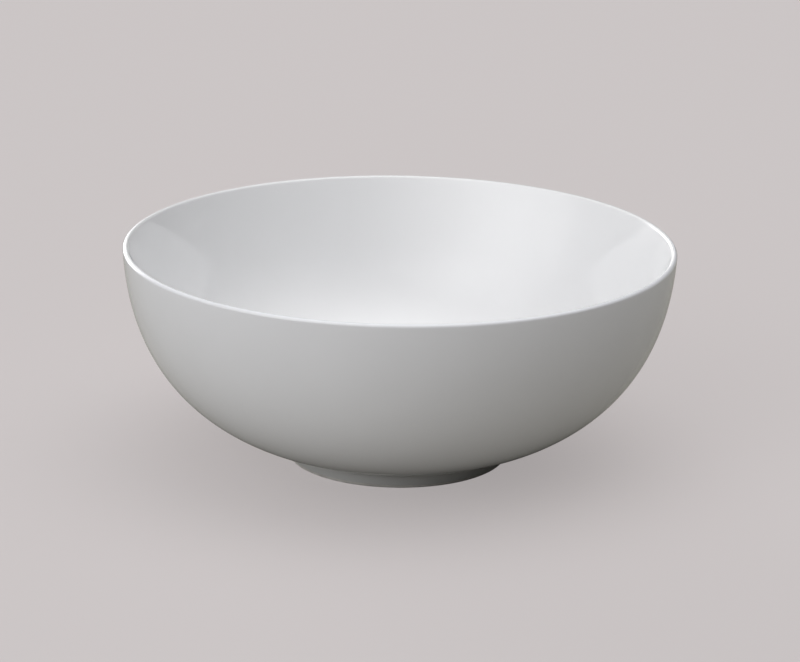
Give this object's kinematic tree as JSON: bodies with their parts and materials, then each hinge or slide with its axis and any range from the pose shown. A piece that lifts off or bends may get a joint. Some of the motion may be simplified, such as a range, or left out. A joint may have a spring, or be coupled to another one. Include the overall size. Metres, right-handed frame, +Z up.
{
  "type": "serving bowl",
  "caption": "Round deep serving bowl in glazed porcelain with a rounded lip and a low turned foot ring.",
  "frame": {"origin": "on the turning axis, at the height of the table the foot ring stands on", "axes": "+Z up along the turning axis; the bowl is the same all round, so +X and +Y are free"},
  "size_m": [0.24, 0.24, 0.0949],
  "materials": {
    "biscuit_porcelain": "matte",
    "inside_glaze": "gloss",
    "outside_glaze": "gloss",
    "base_glaze": "gloss"
  },
  "bodies": {
    "root": {"bowl_body": "biscuit_porcelain", "foot_ring": "biscuit_porcelain", "inner_glaze": "inside_glaze", "outer_glaze": "outside_glaze", "base_glaze": "base_glaze"}
  },
  "joints": []
}
